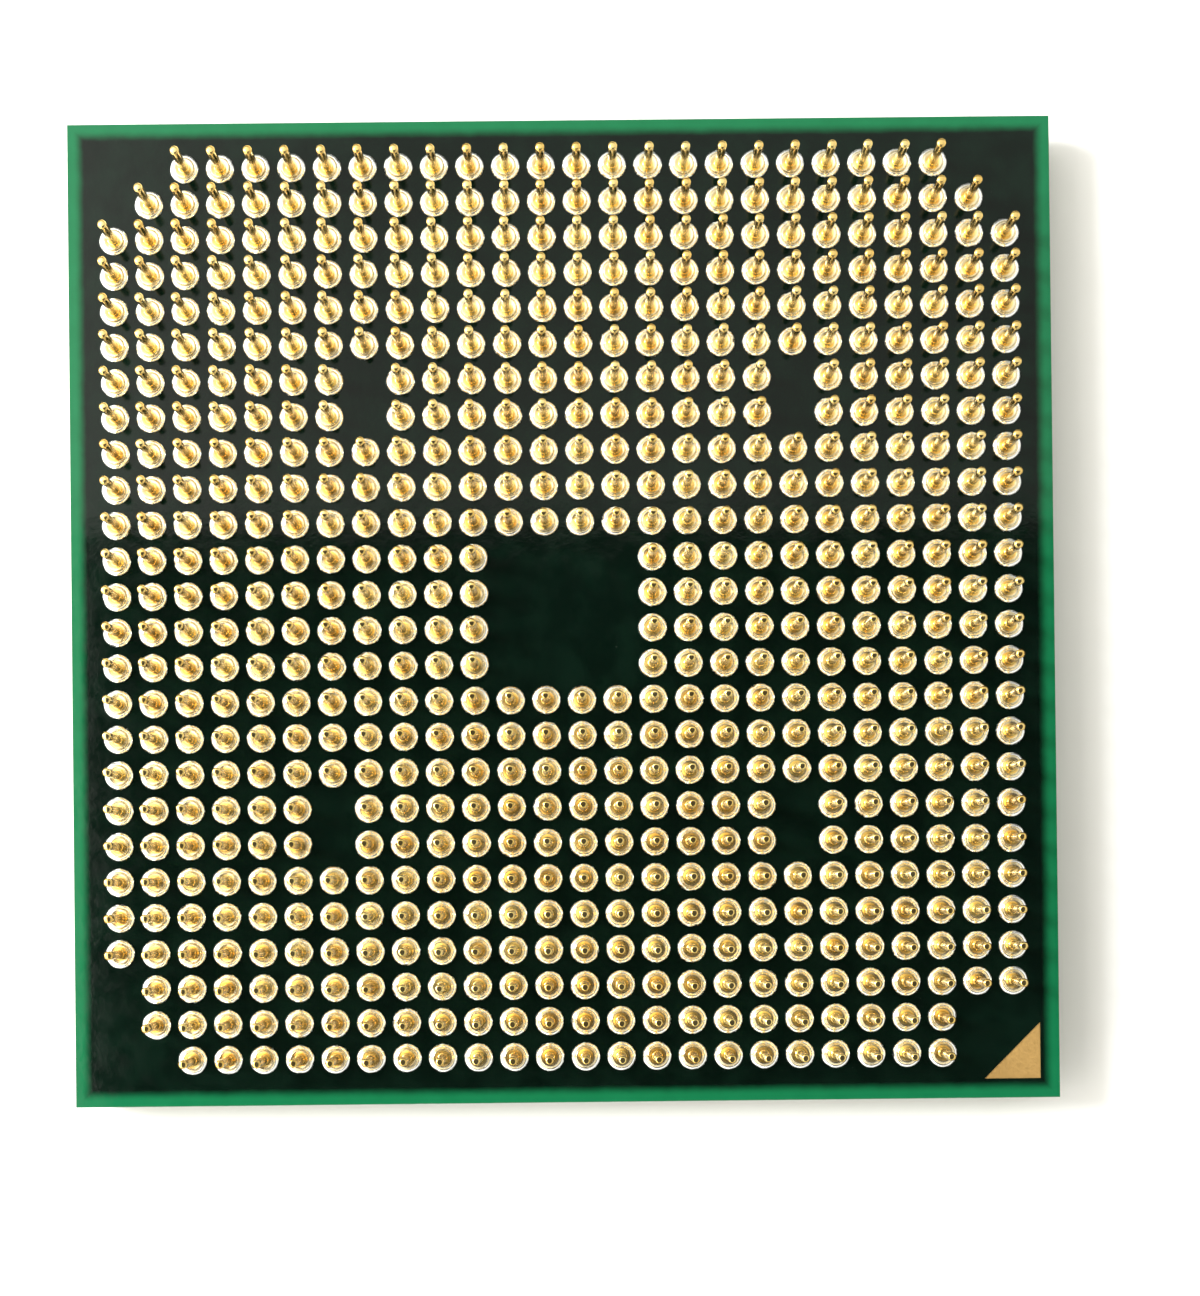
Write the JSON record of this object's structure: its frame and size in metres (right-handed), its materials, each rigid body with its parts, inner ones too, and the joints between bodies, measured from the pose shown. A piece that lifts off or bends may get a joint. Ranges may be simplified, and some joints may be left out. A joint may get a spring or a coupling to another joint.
{
  "type": "cpu processor",
  "caption": "Square lidless pin-grid processor package: thin green laminate with a field of gold pins in solder collars on one side, bare die and chip capacitors on the other.",
  "frame": {"origin": "centre of the bare die's contact face, which is also the centre of the package outline, on the plane the package rests on", "axes": "+Z along the contact pins, away from the die; +X and +Y along the package edges, with the pin-one marker in the +X -Y corner"},
  "size_m": [0.035, 0.035, 0.0041],
  "materials": {
    "gold_plated_pin": "polished",
    "gold_plated_pad": "satin",
    "pin_solder": "gloss",
    "small_solder": "gloss",
    "solder_mask": "gloss",
    "glass_epoxy": "satin",
    "buildup_resin": "satin",
    "via_resin": "matte",
    "copper": "satin",
    "silicon": "polished",
    "underfill_epoxy": "satin",
    "capacitor_ceramic": "satin",
    "tin_plate": "satin"
  },
  "bodies": {
    "root": {"alignment_fiducials": "gold_plated_pad", "bump_pads": "copper", "capacitor_bodies": "capacitor_ceramic", "capacitor_end_caps": "tin_plate", "capacitor_pads": "copper", "capacitor_solder": "small_solder", "contact_pins": "gold_plated_pin", "core_laminate": "glass_epoxy", "core_vias": "copper", "die_side_buildup": "buildup_resin", "die_side_copper_plane": "copper", "die_side_corner_marker": "gold_plated_pad", "die_side_microvias": "copper", "die_side_solder_mask": "solder_mask", "ground_plane": "copper", "pin_one_marker": "gold_plated_pad", "pin_pads": "copper", "pin_side_buildup": "buildup_resin", "pin_side_copper_plane": "copper", "pin_side_microvias": "copper", "pin_side_solder_mask": "solder_mask", "pin_solder": "pin_solder", "power_plane": "copper", "silicon_die": "silicon", "solder_bumps": "small_solder", "underfill": "underfill_epoxy", "via_plugs": "via_resin"}
  },
  "joints": []
}
